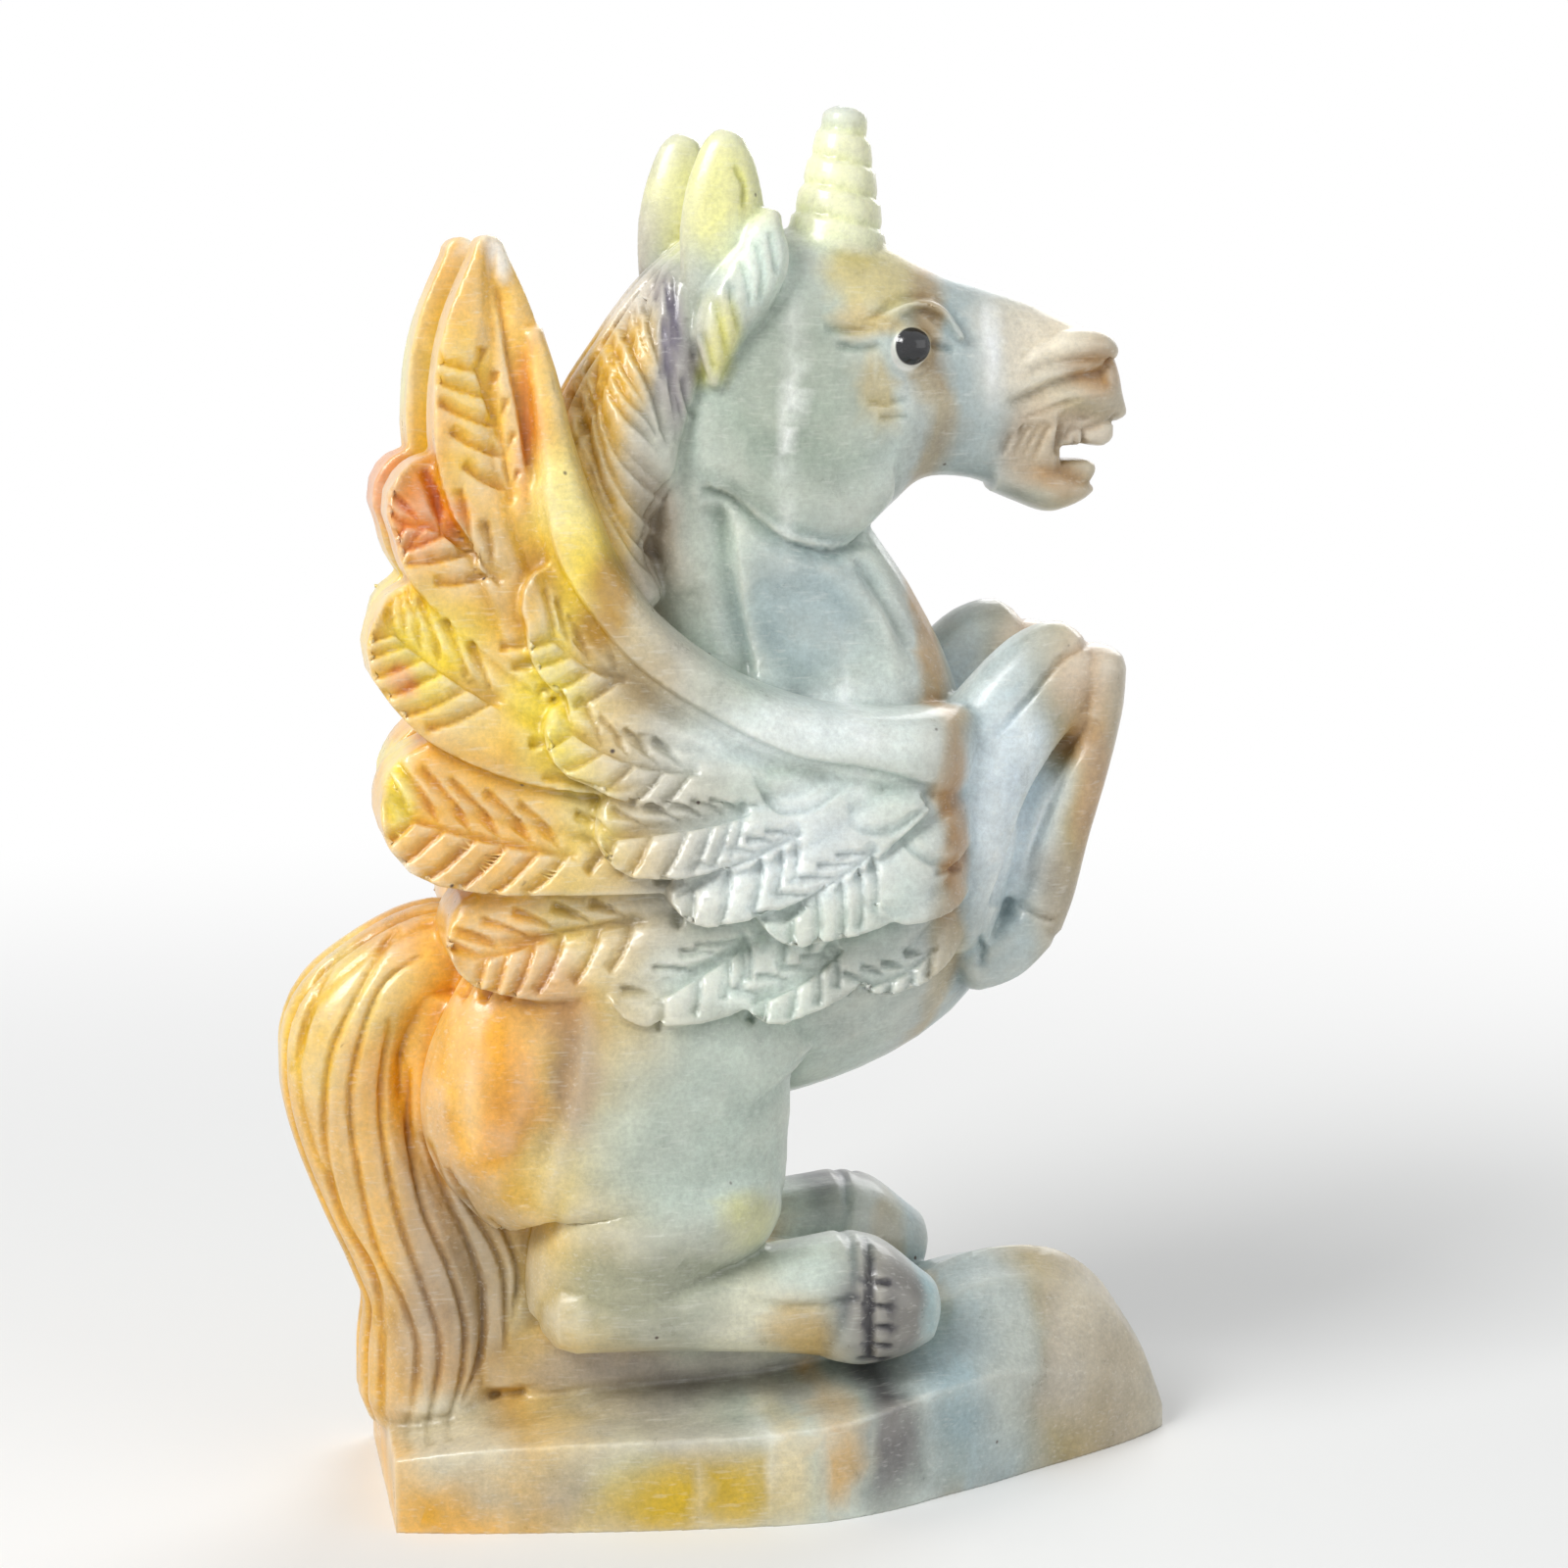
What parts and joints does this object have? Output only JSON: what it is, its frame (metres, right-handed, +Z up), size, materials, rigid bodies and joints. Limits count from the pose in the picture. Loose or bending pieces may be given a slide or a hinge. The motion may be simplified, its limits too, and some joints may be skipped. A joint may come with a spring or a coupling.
{
  "type": "winged unicorn figurine",
  "caption": "Carved banded-stone figurine of a rearing winged unicorn with a grooved horn, raised feathered wings, a long wavy tail and a rock base that stands on its flat underside.",
  "frame": {"origin": "on the flat underside of the rock base, near its middle", "axes": "+X the way the head looks, +Z up, -Y the side of the nearer wing in the picture"},
  "size_m": [0.1048, 0.0459, 0.1566],
  "materials": {
    "stone": "polished banded calcite, cream, ochre and pale green-grey, with black painted eyes"
  },
  "bodies": {
    "root": {"winged_unicorn": "stone"}
  },
  "joints": []
}
